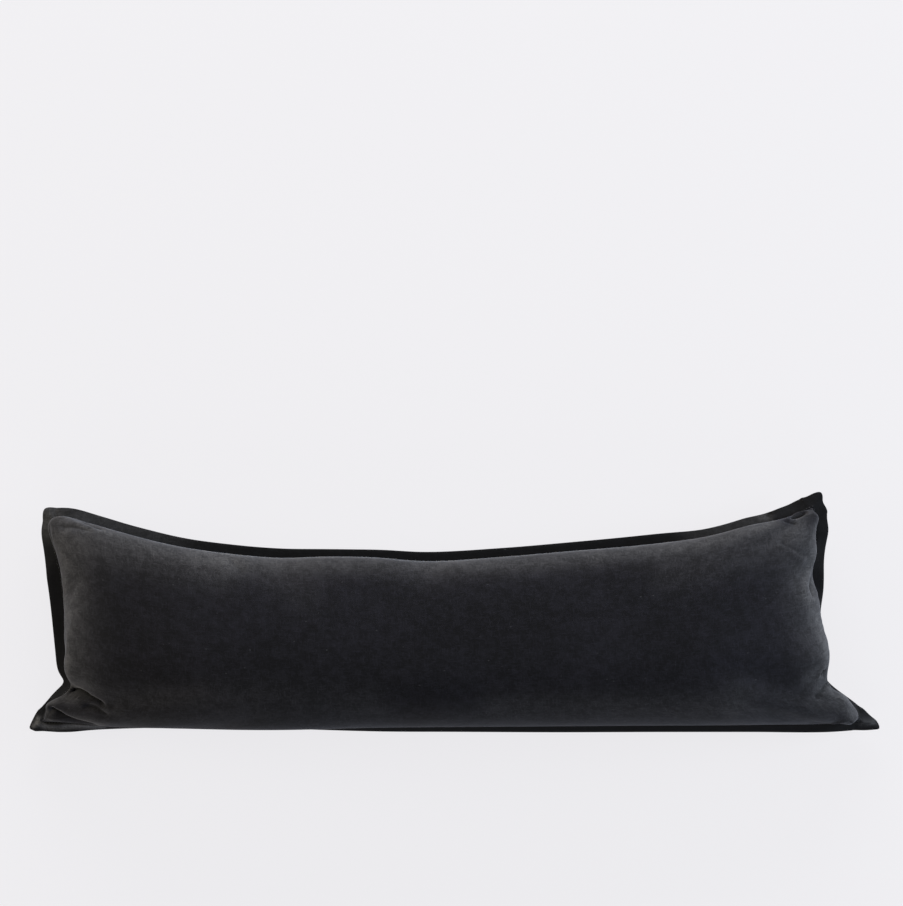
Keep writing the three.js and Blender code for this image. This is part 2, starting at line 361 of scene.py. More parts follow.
def inflate(piece, look):
    tight = piece.vertex_groups.new(name="tight")
    for vertex in piece.data.vertices:
        weight = 1 - easeIn(look["tightFrom"], look["tightTo"], abs(vertex.co.x))
        tight.add([vertex.index], weight, "REPLACE")
    start = [vertex.co.copy() for vertex in piece.data.vertices]
    cloth = piece.modifiers.new("cloth", "CLOTH")
    feel = cloth.settings
    feel.quality = look["quality"]
    feel.mass = look["mass"]
    feel.tension_stiffness = look["tension"]
    feel.compression_stiffness = look["tension"] / 2
    feel.shear_stiffness = look["tension"] / 3
    feel.bending_stiffness = look["bending"]
    feel.tension_damping = look["damping"]
    feel.compression_damping = look["damping"]
    feel.shear_damping = look["damping"]
    feel.use_pressure = True
    feel.uniform_pressure_force = look["pressure"]
    feel.vertex_group_shrink = "tight"
    feel.shrink_max = 0.0
    feel.shrink_min = look["slack"]
    feel.vertex_group_mass = "seam"
    feel.effector_weights.gravity = 0
    cloth.collision_settings.use_collision = False
    cloth.collision_settings.use_self_collision = False
    cloth.point_cache.frame_start = 1
    cloth.point_cache.frame_end = look["lastFrame"]
    for step in range(1, look["lastFrame"] + 1):
        scene.frame_set(step)
    applyModifiers(piece)
    scene.frame_set(1)
    moves = [vertex.co - home for vertex, home in zip(piece.data.vertices, start)]
    moves = evenOut(piece, moves, look)
    moved = 0
    for vertex, home, move in zip(piece.data.vertices, start, moves):
        far = move.length
        moved = max(moved, far)
        if far > 0:
            vertex.co = home + move * (look["mostMove"] * math.tanh(far / look["mostMove"]) / far)
        vertex.co.z = max(0.0, vertex.co.z)
    print("cushion inflated, moved up to %.1f mm" % (moved * 1000))


# Halves the cells that lie within reach of some folds, on the side that faces up. The edges
# stay in the mesh's own order, here and below, so that every run numbers them the same way.
def refineAlong(bm, folds, reach, step):
    lines = treeOf([place for fold in folds for place in smoothRoute(fold["route"], step)])
    near = {}
    for face in bm.faces:
        middle = face.calc_center_median()
        if face.material_index == facePanel and lines.find((middle.x, middle.y, 0))[2] < reach:
            near.update(dict.fromkeys(face.edges))
    bmesh.ops.subdivide_edges(bm, edges=list(near), cuts=1, use_grid_fill=True)


# Halves the cells of the panel that faces up, so that narrow creases can be laid in it, and
# once more along the folds that are tucked.
def refineFace(piece, folds, look):
    bm = bmesh.new()
    bm.from_mesh(piece.data)
    faces = [face for face in bm.faces if face.material_index == facePanel]
    edges = list(dict.fromkeys(edge for face in faces for edge in face.edges))
    bmesh.ops.subdivide_edges(bm, edges=edges, cuts=1, use_grid_fill=True)
    inner = [v for v in bm.verts if all(f.material_index == facePanel for f in v.link_faces)]
    bmesh.ops.smooth_vert(
        bm, verts=inner, factor=look["relax"], use_axis_x=True, use_axis_y=True, use_axis_z=True,
    )
    tucked = [fold for fold in folds if fold.get("tuck")]
    refineAlong(bm, tucked, look["tuckReach"], look["tuckStep"])
    for face in bm.faces:
        face.smooth = True
    bm.to_mesh(piece.data)
    bm.free()


# The folds in the face. A route is followed in plan and runs on the surface. A
# trough has its depth and half width. It is pinched along its bottom and runs out softly. On
# one side of it stands a lip: side 1 is the left of the way that the route goes, -1 the right.
# On the other side the trough rises over its half width times the spread. The tuck pulls the
# lip over the trough. A depth below zero makes a rounded ridge. Side 1 and no lip are left out.
foldLook = {
    "step": 0.001,  # along a route
    "evenTurns": 30,
    "steep": 0.1,  # upward part of the normal below which the surface counts as a side
    "sideFrom": 0.06,  # the height from which the nearest place on a side is looked for
    "reach": 4,  # half widths within which a fold moves anything
    "pushReach": 3,  # reaches beyond which a push is nothing
    "seamClear": (0.001, 0.006),  # from the seam, between which the folds fade in
    "fade": 0.25,  # of a fold's length, over which it fades at each open end
    "pinch": 0.25,  # half widths over which a trough's bottom is rounded
    "lipAt": 2.0,  # half widths beside the trough
    "lipWide": 1.2,
    "darkFrom": 0.40,  # of a trough's depth, from which painted shade darkens the pile in it
    "fullDepth": 0.007,  # of a trough whose bottom is painted black
}
faceFolds = [
    # lower left: the deep fold out of the notch, with the short ones that branch below it
    {"route": [(-0.554, -0.109), (-0.543, -0.108), (-0.532, -0.111), (-0.518, -0.1175),
               (-0.505, -0.125), (-0.494, -0.131)],
     "depth": 0.0090, "width": 0.0030, "spread": 1.2, "tuck": 0.0008,
     "openStart": False},
    {"route": [(-0.534, -0.129), (-0.518, -0.130), (-0.507, -0.135), (-0.500, -0.140),
               (-0.488, -0.144)],
     "depth": 0.0036, "width": 0.0030, "lip": 0.0006, "spread": 1.6},
    {"route": [(-0.543, -0.117), (-0.535, -0.125), (-0.529, -0.134)],
     "depth": -0.0018, "width": 0.0040},
    {"route": [(-0.500, -0.131), (-0.482, -0.134), (-0.462, -0.136)],
     "depth": -0.0012, "width": 0.0046},
    # the fold that tucks the lower edge in at the same corner
    {"route": [(-0.583, -0.136), (-0.573, -0.141), (-0.560, -0.149), (-0.545, -0.155),
               (-0.528, -0.158), (-0.508, -0.160)],
     "depth": 0.0090, "width": 0.0032, "spread": 1.4, "tuck": 0.0004,
     "openStart": False},
    # upper left: soft creases that run in from the rounded corner
    {"route": [(-0.570, 0.124), (-0.556, 0.126), (-0.541, 0.126), (-0.530, 0.124),
               (-0.512, 0.119)],
     "depth": 0.0030, "width": 0.0036, "lip": 0.0008, "spread": 1.4},
    {"route": [(-0.535, 0.133), (-0.522, 0.129), (-0.511, 0.125), (-0.496, 0.120)],
     "depth": 0.0022, "width": 0.0032, "lip": 0.0006},
    {"route": [(-0.579, 0.132), (-0.579, 0.120), (-0.577, 0.108), (-0.573, 0.098)],
     "depth": 0.0018, "width": 0.0030, "lip": 0.0006},
    {"route": [(-0.563, 0.111), (-0.550, 0.117), (-0.538, 0.119)],
     "depth": -0.0012, "width": 0.0040},
    # the pucker under the top seam, left of the middle
    {"route": [(-0.320, 0.083), (-0.307, 0.071), (-0.294, 0.060)],
     "depth": 0.0014, "width": 0.0075, "lip": 0.0008},
    # upper right: the hollow beside the corner with its bright lip, and what radiates from it
    {"route": [(0.476, 0.139), (0.485, 0.139), (0.493, 0.141), (0.500, 0.144), (0.507, 0.149)],
     "depth": 0.0056, "width": 0.0030, "lip": 0.0014, "side": -1, "spread": 1.6},
    {"route": [(0.467, 0.136), (0.477, 0.132), (0.491, 0.129)],
     "depth": 0.0028, "width": 0.0028},
    {"route": [(0.454, 0.106), (0.468, 0.102), (0.478, 0.097), (0.487, 0.091), (0.498, 0.086),
               (0.510, 0.080)],
     "depth": 0.0024, "width": 0.0032, "lip": 0.0010, "side": -1, "spread": 1.4},
    # the bend in the right side: a rounded ridge down the edge that turns inwards
    {"route": [(0.514, 0.098), (0.514, 0.084), (0.509, 0.069), (0.504, 0.055), (0.498, 0.043),
               (0.500, 0.033), (0.506, 0.022)],
     "depth": -0.0026, "width": 0.0068},
    {"route": [(0.512, 0.054), (0.508, 0.044), (0.509, 0.034), (0.514, 0.024)],
     "depth": 0.0034, "width": 0.0040, "openStart": False},
    # lower right: the small round pucker, the folds beside it and those in the corner
    {"route": [(0.532, -0.071), (0.524, -0.077), (0.519, -0.085), (0.519, -0.094)],
     "depth": -0.0026, "width": 0.0036},
    {"route": [(0.531, -0.076), (0.527, -0.082), (0.525, -0.090)],
     "depth": 0.0060, "width": 0.0032},
    {"route": [(0.537, -0.098), (0.525, -0.110), (0.511, -0.121)],
     "depth": 0.0036, "width": 0.0036, "lip": 0.0010, "spread": 1.4,
     "openStart": False},
    {"route": [(0.541, -0.108), (0.549, -0.120), (0.553, -0.132), (0.552, -0.143)],
     "depth": 0.0010, "width": 0.0050, "lip": 0.0004},
    {"route": [(0.567, -0.158), (0.574, -0.153), (0.581, -0.147)],
     "depth": -0.0022, "width": 0.0030},
    {"route": [(0.538, -0.159), (0.551, -0.156), (0.566, -0.154)],
     "depth": -0.0016, "width": 0.0034},
    {"route": [(0.500, -0.066), (0.512, -0.060), (0.522, -0.056)],
     "depth": -0.0014, "width": 0.0044},
]

# Places where the filling pushes the face out, each over its reach in plan.
facePushes = [
    {"at": (-0.577, -0.131), "reach": 0.014, "shift": (-0.008, 0.001, 0.001)},
    {"at": (0.520, 0.138), "reach": 0.018, "shift": (0.0045, 0.001, 0.001)},
    {"at": (0.488, 0.147), "reach": 0.010, "shift": (0.000, 0.002, -0.006)},
    {"at": (0.506, 0.154), "reach": 0.009, "shift": (0.000, 0.000, -0.005)},
    {"at": (0.521, 0.106), "reach": 0.011, "shift": (-0.0028, 0.000, 0.000)},
    {"at": (0.555, -0.122), "reach": 0.014, "shift": (0.004, 0.002, 0.000)},
    {"at": (0.566, -0.150), "reach": 0.012, "shift": (0.004, -0.006, 0.003)},
]


# The points of a piece that lie on its seam, as a tree to measure distances from.
def seamTree(piece):
    seam = piece.vertex_groups["seam"].index
    held = []
    for vertex in piece.data.vertices:
        if any(part.group == seam and part.weight > seamWeight for part in vertex.groups):
            held.append(vertex.co.copy())
    return treeOf(held)


def pushOut(piece, pushes, look):
    seam = seamTree(piece)
    panel = [face for face in piece.data.polygons if face.material_index == facePanel]
    for corner in {corner for face in panel for corner in face.vertices}:
        vertex = piece.data.vertices[corner]
        for push in pushes:
            away = Vector((vertex.co.x - push["at"][0], vertex.co.y - push["at"][1])).length
            if away < look["pushReach"] * push["reach"]:
                share = math.exp(-(away / push["reach"]) ** 2)
                share *= easeIn(*look["seamClear"], seam.find(vertex.co)[2])
                vertex.co += Vector(push["shift"]) * share
    piece.data.update()


# Evens out a line of places and normals, each with the two beside it.
def evenLine(line, turns):
    for turn in range(turns):
        line = [
            ((a[0] + 2 * b[0] + c[0]) / 4, (a[1] + 2 * b[1] + c[1]).normalized())
            for a, b, c in zip(line[:1] + line, line, line[1:] + line[-1:])
        ]
    return line


def ridgeForm(away):
    return math.exp(-away ** 2)


def troughForm(away, pinch):
    return math.exp(pinch - math.hypot(away, pinch))


# Lays folds in a piece, and paints shade into their troughs. In a sheet they go straight up or down,
# through both of its sides.
def layFolds(piece, folds, look, sheet=False):
    mesh = piece.data
    skin = skinOf(mesh)
    up = Vector((0, 0, 1))
    plan = Vector((1, 1, 0)) if sheet else Vector((1, 1, 1))
    seam = seamTree(piece)
    points = treeOf([vertex.co * plan for vertex in mesh.vertices])
    normals = [up if sheet else vertex.normal.copy() for vertex in mesh.vertices]
    shifts = {}
    shade = mesh.attributes.new("foldShade", "FLOAT", "POINT")
    for fold in folds:
        curve = []
        for place in smoothRoute(fold["route"], look["step"]):
            hit = skin.ray_cast(place + up, -up)
            if hit[0] is None or hit[1].z < look["steep"]:
                hit = skin.find_nearest(place + look["sideFrom"] * up)
            curve.append((place, up) if sheet else (hit[0], hit[1]))
        curve = evenLine(curve, look["evenTurns"])
        width, spread, depth = fold["width"], fold.get("spread", 1.0), fold["depth"]
        reach = width * look["reach"] * spread
        nearest = {}
        for index, (place, _) in enumerate(curve):
            for _, vertex, far in points.find_range(place, reach):
                if vertex not in nearest or far < nearest[vertex][1]:
                    nearest[vertex] = (index, far)
        last = len(curve) - 1
        for vertex, (index, far) in nearest.items():
            place, normal = curve[index]
            ahead = (curve[min(last, index + 1)][0] - curve[max(0, index - 1)][0]).normalized()
            aside = normal.cross(ahead) * fold.get("side", 1)
            away = mesh.vertices[vertex].co * plan - place
            across = away.dot(aside)
            beyond = away.dot(ahead)
            share = 1.0
            if fold.get("openStart", True):
                share *= easeIn(0, look["fade"], index / last)
            share *= easeIn(0, look["fade"], 1 - index / last)
            share *= math.exp(-(beyond / width) ** 2)
            share *= easeIn(*look["seamClear"], seam.find(mesh.vertices[vertex].co)[2])
            wide = width if across > 0 else width * spread
            form = ridgeForm(across / wide) if depth < 0 else troughForm(across / wide, look["pinch"])
            lip = math.exp(-((across / width - look["lipAt"]) / look["lipWide"]) ** 2)
            shift = normals[vertex] * (fold.get("lip", 0) * lip - depth * form)
            shift -= aside * (fold.get("tuck", 0) * math.exp(-(across / width - 1) ** 2))
            shifts[vertex] = shifts.get(vertex, Vector((0, 0, 0))) + shift * share
            # painted shade, darkest at the bottom of a deep trough
            dark = easeIn(look["darkFrom"], 1.0, form * share) * min(1.0, depth / look["fullDepth"])
            shade.data[vertex].value = max(shade.data[vertex].value, dark)
    for vertex, shift in shifts.items():
        mesh.vertices[vertex].co += shift
    mesh.update()
    print("folds laid in", piece.name + ":", len(folds))


# Small creases gathered at the two ends, finer and stronger to the right.
wrinkleLook = {
    "endFrom": 0.42,
    "endTo": 0.56,
    "lowFrom": -0.15,  # below which, towards the lower edge, there are none
    "lowTo": -0.08,
    "height": (0.0002, 0.0005),  # at the left and the right end
    "size": (0.055, 0.018),  # of a crease, along it and across it
    "lean": 0.6,  # radians, by which they point into the corners
    "leanOver": 0.05,  # from the middle line, over which they turn to that
    "lowest": 0.02,  # the height over the surface below which there are none
    "seamClear": (0.001, 0.008),  # from the seam, between which they fade in
    "warp": 0.6,
    "warpScale": 0.7,
    "warpSeed": 1,  # never 0, with which the clock picks it and no two runs are the same
    "level": 0.4,  # of the creases' form, where the cloth stays as it is
    "seed": 7.3,
}


def wrinkleEnds(piece, look):
    noise.seed_set(look["warpSeed"])
    mesh = piece.data
    normals = [vertex.normal.copy() for vertex in mesh.vertices]
    seam = seamTree(piece)
    for vertex, normal in zip(mesh.vertices, normals):
        x, y, z = vertex.co
        share = easeIn(look["endFrom"], look["endTo"], abs(x))
        share *= easeIn(look["lowFrom"], look["lowTo"], y)
        if share == 0 or z < look["lowest"]:
            continue
        share *= easeIn(*look["seamClear"], seam.find(vertex.co)[2])
        lean = look["lean"] * math.copysign(1, x) * math.tanh(y / look["leanOver"])
        along = x * math.cos(lean) + y * math.sin(lean)
        across = y * math.cos(lean) - x * math.sin(lean)
        spot = Vector((along / look["size"][0], across / look["size"][1], look["seed"]))
        spot = spot + look["warp"] * noise.noise_vector(spot * look["warpScale"])
        sharp = 1 - 2 * abs(noise.noise(spot))
        height = look["height"][0] if x < 0 else look["height"][1]
        vertex.co = vertex.co + normal * (height * share * (sharp - look["level"]))
    mesh.update()
    print("ends wrinkled")


# The back's place in its flat cloth: its plan, spread outwards as it climbs the sides.
def spreadBack(bm, cloth):
    bm.normal_update()
    for face in bm.faces:
        if face.material_index != facePanel:
            for loop in face.loops:
                place, normal = loop.vert.co, loop.vert.normal
                loop[cloth].uv = (place.x + normal.x * place.z, place.y + normal.y * place.z)


def unrollCushion(piece):
    bm = bmesh.new()
    bm.from_mesh(piece.data)
    cloth = bm.loops.layers.uv.new(clothMap)
    unrollFace(bm, cloth)
    spreadBack(bm, cloth)
    bm.to_mesh(piece.data)
    bm.free()


def makeCushion(look):
    piece = quadCopy("cushion", "velvetCushion")
    markSeam(piece, "flange", look["seamReach"])
    unrollCushion(piece)
    smoothOver(piece, look["levels"], look["fitTurns"])
    print("cushion ready for cloth:", len(piece.data.vertices), "points")
    inflate(piece, look)
    refineFace(piece, faceFolds, look)
    pushOut(piece, facePushes, foldLook)
    paintLightAndLay(piece, facePaintedLightAndLay)
    wrinkleEnds(piece, wrinkleLook)
    layFolds(piece, faceFolds, foldLook)
    piece.vertex_groups.clear()
    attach(piece, "root")
    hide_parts("cushion")
    return piece


# Creases a piece across its mitred corners, round the section of each.
def creaseMitres(piece, corners, sharp):
    bm = bmesh.new()
    bm.from_mesh(piece.data)
    crease = bm.edges.layers.float["crease_edge"]
    for way in corners:
        tip = max(bm.verts, key=lambda vertex: vertex.co.dot(Vector(way)))
        edge = min(tip.link_edges, key=lambda linked: linked.calc_length())
        vertex = edge.other_vert(tip)
        while edge[crease] < sharp:
            edge[crease] = sharp
            beside = set(edge.link_faces)
            edge = next(e for e in vertex.link_edges if not beside.intersection(e.link_faces))
            vertex = edge.other_vert(vertex)
    bm.to_mesh(piece.data)
    bm.free()


flangeLook = {
    "seamReach": 0.0006,
    "levels": 3,
    "fitTurns": 2,
    "corners": [(1, 1, 0), (1, -1, 0), (-1, -1, 0)],  # the ones that come to a point
    "cornerCrease": 0.4,
    "width": 0.022,  # of the flat cloth
    "length": 2.95,  # and once round
}


# Folds in the flange: the rim that turns up in the lower left corner, the dents along the top
# and the bent tip on the right.
flangeFolds = [
    {"route": [(-0.604, -0.153), (-0.597, -0.154), (-0.589, -0.160), (-0.579, -0.162),
               (-0.566, -0.160), (-0.554, -0.159), (-0.538, -0.160), (-0.517, -0.164)],
     "depth": -0.0060, "width": 0.0030, "openStart": False},
    {"route": [(-0.579, -0.123), (-0.587, -0.131), (-0.592, -0.140), (-0.594, -0.148),
               (-0.588, -0.155)],
     "depth": 0.0050, "width": 0.0040},
    {"route": [(-0.588, -0.155), (-0.576, -0.157), (-0.560, -0.156), (-0.545, -0.157)],
     "depth": 0.0050, "width": 0.0026, "openStart": False},
    {"route": [(0.449, 0.138), (0.453, 0.143), (0.456, 0.147)],
     "depth": 0.0034, "width": 0.0034, "lip": 0.0016, "side": -1, "openStart": False},
    {"route": [(-0.574, 0.151), (-0.560, 0.147), (-0.545, 0.148)],
     "depth": -0.0016, "width": 0.0040},
    {"route": [(0.574, -0.155), (0.588, -0.158), (0.601, -0.160), (0.612, -0.161)],
     "depth": -0.0030, "width": 0.0030, "openStart": False},
    {"route": [(0.580, -0.132), (0.586, -0.142), (0.590, -0.151)],
     "depth": 0.0040, "width": 0.0050},
]

# Where the flange's corners are bent in or drawn out.
flangePushes = [
    {"at": (0.504, 0.169), "reach": 0.011, "shift": (0.000, -0.0040, -0.001)},
    {"at": (0.533, 0.160), "reach": 0.008, "shift": (-0.0030, 0.000, -0.001)},
    {"at": (0.612, -0.162), "reach": 0.012, "shift": (0.0015, 0.0036, 0.000)},
    {"at": (-0.604, -0.169), "reach": 0.006, "shift": (-0.0040, -0.0015, 0.000)},
]


def makeFlange(look):
    piece = quadCopy("flange", "velvetFlange")
    markSeam(piece, "cushion", look["seamReach"])
    creaseMitres(piece, look["corners"], look["cornerCrease"])
    smoothOver(piece, look["levels"], look["fitTurns"])
    pushOut(piece, flangePushes, foldLook)
    layFolds(piece, flangeFolds, foldLook, sheet=True)
    paintLightAndLay(piece, flangePaintedLightAndLay)
    cloth = piece.data.uv_layers.new(name=clothMap)
    for loop in piece.data.loops:
        place = piece.data.vertices[loop.vertex_index].co
        cloth.data[loop.index].uv = (place.x, place.y)
    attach(piece, "root")
    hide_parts("flange")
    return piece


# The stitches that join the two panels: one line on the flange's upper side, one on its lower.
stitchLook = {
    "pitch": 0.0042,  # from one stitch to the next
    "size": (0.0031, 0.0007, 0.0006),  # along the line, across it and up
    "fromSeam": 0.0018,
    "seekFrom": 0.0005,  # over the seam, from where the flange's surface is looked for
    "around": 6,
    "rings": 4,
}


# The seam's two closed lines, the upper one first, along the edges of the flange's inner side.
# Each place has the normal of the flange beside it.
def seamLines(flange):
    seam = flange.vertex_groups["seam"].index
    bm = bmesh.new()
    bm.from_mesh(flange.data)
    weights = bm.verts.layers.deform.active
    held = {vertex for vertex in bm.verts if vertex[weights].get(seam, 0) > seamWeight}
    waiting = {}
    for edge in bm.edges:
        between = [face for face in edge.link_faces if held.issuperset(face.verts)]
        if held.issuperset(edge.verts) and len(between) == 1:
            waiting[edge] = next(face.normal for face in edge.link_faces if face not in between)
    lines = []
    while waiting:
        line = []
        edge = next(iter(waiting))
        vertex = edge.verts[0]
        while edge:
            line.append((vertex.co.copy(), waiting.pop(edge).copy()))
            vertex = edge.other_vert(vertex)
            edge = next((linked for linked in vertex.link_edges if linked in waiting), None)
        lines.append(line)
    bm.free()
    return sorted(lines, key=lambda line: -sum(place.z for place, _ in line) / len(line))


# One stitch, lying along x on the origin.
def makeStitch(look):
    bm = bmesh.new()
    sized = Matrix.Diagonal([size / 2 for size in look["size"]] + [1])
    bmesh.ops.create_uvsphere(
        bm, u_segments=look["around"], v_segments=look["rings"], radius=1, matrix=sized,
    )
    for face in bm.faces:
        face.smooth = True
    mesh = bpy.data.meshes.new("stitch")
    bm.to_mesh(mesh)
    bm.free()
    return mesh


# Sews along a line. It lies above the flange if rise is 1 and below it if that is -1.
def makeStitches(name, line, rise, flange, look):
    skin = skinOf(flange.data)
    stitch = makeStitch(look)
    bm = bmesh.new()
    count, left = 0, 0.0
    around = line[1:] + line[:1]
    area = sum(a.x * b.y - a.y * b.x for (a, _), (b, _) in zip(line, around))
    turn = rise * math.copysign(1, area)
    for (place, normal), (after, _) in zip(line, around):
        way = (after - place).normalized()
        outward = way.cross(normal).normalized() * turn * look["fromSeam"]
        while left < (after - place).length:
            spot = place + way * left
            centre, up = skin.find_nearest(spot + outward + normal * look["seekFrom"])[:2]
            side = up.cross(way).normalized()
            along = side.cross(up)
            turned = Matrix((along, side, up)).transposed().to_4x4()
            laid = Matrix.Translation(centre) @ turned
            stitch.transform(laid)
            bm.from_mesh(stitch)
            stitch.transform(laid.inverted())
            count += 1
            left += look["pitch"]
        left -= (after - place).length
    bpy.data.meshes.remove(stitch)
    mesh = bpy.data.meshes.new(name)
    bm.to_mesh(mesh)
    bm.free()
    piece = addObject(name, mesh)
    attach(piece, "root")
    print(name, "made:", count, "stitches")
    return piece


def paint(piece, material):
    piece.data.materials.clear()
    piece.data.materials.append(material)


# Starts a material and sets the shader's own sockets.
def startMaterial(name, sockets):
    material = bpy.data.materials.new(name)
    material.use_nodes = True
    shader = material.node_tree.nodes["Principled BSDF"]
    for label, value in sockets.items():
        shader.inputs[label].default_value = value
    return material, material.node_tree, shader


# Starts a shader node group that turns a place on the cloth into one value. Returns it with
# the place and the socket that takes the value.
def startGroup(name, result):
    group = bpy.data.node_groups.new(name, "ShaderNodeTree")
    group.interface.new_socket(name="Vector", in_out="INPUT", socket_type="NodeSocketVector")
    group.interface.new_socket(name=result, in_out="OUTPUT", socket_type="NodeSocketFloat")
    start = group.nodes.new("NodeGroupInput")
    end = group.nodes.new("NodeGroupOutput")
    return group, start.outputs["Vector"], end.inputs[result]


# Feeds an input with another node's output, or sets it where the value is a plain one.
def feed(tree, socket, value):
    if isinstance(value, bpy.types.NodeSocket):
        tree.links.new(value, socket)
    else:
        socket.default_value = value


def addMath(tree, operation, first, second, clamp=False):
    node = tree.nodes.new("ShaderNodeMath")
    node.operation = operation
    node.use_clamp = clamp
    feed(tree, node.inputs[0], first)
    feed(tree, node.inputs[1], second)
    return node.outputs[0]


def addMix(tree, share, first, second):
    node = tree.nodes.new("ShaderNodeMix")
    node.data_type = "RGBA"
    feed(tree, node.inputs["Factor"], share)
    feed(tree, node.inputs["A"], first)
    feed(tree, node.inputs["B"], second)
    return node.outputs["Result"]


def addAttribute(tree, name):
    node = tree.nodes.new("ShaderNodeAttribute")
    node.attribute_name = name
    return node.outputs["Fac"]


def addBump(tree, height, strength, distance):
    node = tree.nodes.new("ShaderNodeBump")
    node.inputs["Strength"].default_value = strength
    node.inputs["Distance"].default_value = distance
    tree.links.new(height, node.inputs["Height"])
    return node.outputs["Normal"]


def addScaled(tree, vector, scale):
    node = tree.nodes.new("ShaderNodeMapping")
    node.inputs["Scale"].default_value = scale
    tree.links.new(vector, node.inputs["Vector"])
    return node.outputs["Vector"]


def addNoise(tree, vector, scale, detail, roughness=0.5, distortion=0.0):
    node = tree.nodes.new("ShaderNodeTexNoise")
    node.inputs["Scale"].default_value = scale
    node.inputs["Detail"].default_value = detail
    node.inputs["Roughness"].default_value = roughness
    node.inputs["Distortion"].default_value = distortion
    tree.links.new(vector, node.inputs["Vector"])
    return node.outputs["Fac"]


def addRange(tree, value, low, high, outLow=0.0, outHigh=1.0):
    node = tree.nodes.new("ShaderNodeMapRange")
    node.interpolation_type = "SMOOTHSTEP"
    for label, number in zip(("From Min", "From Max", "To Min", "To Max"),
                             (low, high, outLow, outHigh)):
        node.inputs[label].default_value = number
    tree.links.new(value, node.inputs["Value"])
    return node.outputs["Result"]


# The pile's uneven lay: wide patches, soft streaks and, between them, single tufts. A range
# has the two ends of what counts of a noise, and then what they are turned into.
brushingLook = {
    "patches": {"scale": 7.0, "detail": 2.0, "roughness": 0.5, "distortion": 0.4},
    "patchRange": (0.3, 0.7),
    "patchLight": 0.25,
    "streakScale": (50, 62, 1),  # to a metre, along the cloth and across it
    "streaks": {"scale": 1.0, "detail": 4.0, "roughness": 0.85},
    "streakRange": (0.36, 0.64, -0.15, 0.30),
    "tufts": {"scale": 420.0, "detail": 1.0, "roughness": 0.8},
    "tuftRange": (0.30, 0.70, -0.08, 0.12),
}


def makeBrushing(look):
    group, flat, shade = startGroup("brushedPile", "Shade")
    patches = addRange(group, addNoise(group, flat, **look["patches"]), *look["patchRange"])
    streaks = addNoise(group, addScaled(group, flat, look["streakScale"]), **look["streaks"])
    tufts = addNoise(group, flat, **look["tufts"])
    total = addMath(group, "MULTIPLY", patches, look["patchLight"])
    total = addMath(group, "ADD", total, addRange(group, streaks, *look["streakRange"]))
    total = addMath(group, "ADD", total, addRange(group, tufts, *look["tuftRange"]))
    group.links.new(addMath(group, "MAXIMUM", total, 0.0), shade)
    return group


# The ground cloth that shows through the pile: short streaks along its two threads.
threadingLook = {
    "weft": (95, 430, 1),
    "warp": (430, 95, 1),
    "range": (0.52, 0.74),
}


def makeThreading(look):
    group, flat, threads = startGroup("groundThreads", "Threads")
    weft = addNoise(group, addScaled(group, flat, look["weft"]), 1.0, 1.0)
    warp = addNoise(group, addScaled(group, flat, look["warp"]), 1.0, 1.0)
    weft = addRange(group, weft, *look["range"])
    warp = addRange(group, warp, *look["range"])
    group.links.new(addMath(group, "MAXIMUM", weft, warp), threads)
    return group


# Specks of lint, short and faint, a few to each hand's breadth.
lintLook = {
    "cells": (110, 190, 1),
    "size": (0.04, 0.22, 1.0, 0.0),  # of a speck, in cells
    "chosen": (0.92, 1.0),  # a cell's random value, from none at the first to a full speck
}


def makeLint(look):
    group, flat, specks = startGroup("lintSpecks", "Specks")
    cells = group.nodes.new("ShaderNodeTexVoronoi")
    cells.inputs["Scale"].default_value = 1.0
    group.links.new(addScaled(group, flat, look["cells"]), cells.inputs["Vector"])
    near = addRange(group, cells.outputs["Distance"], *look["size"])
    split = group.nodes.new("ShaderNodeSeparateColor")
    group.links.new(cells.outputs["Color"], split.inputs["Color"])
    chosen = addRange(group, split.outputs["Red"], *look["chosen"])
    group.links.new(addMath(group, "MULTIPLY", near, chosen), specks)
    return group


faceVelvet = {
    "low": (0.0002, 0.0000, 0.0010, 1),
    "high": (0.0100, 0.0096, 0.0150, 1),
    "threads": 0.36,  # how much the ground threads lighten it
    "paintedLightColor": (0.060, 0.059, 0.062, 1),  # painted light and sheen, mixed with the way the pile lies
    "paintedLightEven": 0.4,  # how much of the painted light shows where the pile itself is darkest
    "lint": (0.030, 0.030, 0.034, 1),
    "fold": (0, 0, 0, 1),  # painted shade at the bottom of a deep fold
    "bump": 0.12,
    "pileHeight": 0.001,
    "sockets": {
        "Roughness": 0.95,
        "Specular IOR Level": 0.2,
        "Sheen Weight": 0.21,
        "Sheen Roughness": 0.42,
        "Sheen Tint": (0.86, 0.87, 1.0, 1),
    },
}
# The flange's velvet: a darker copy of the face's, partly pressed pile and partly painted shade under
# the face's bulge, with a paler painted light colour for its turned rim.
flangeVelvet = {
    **faceVelvet,
    "low": (0.0000, 0.0000, 0.0004, 1),
    "high": (0.0034, 0.0034, 0.0048, 1),
    "paintedLightColor": (0.100, 0.099, 0.104, 1),
    "sockets": {**faceVelvet["sockets"], "Sheen Weight": 0.045},
}


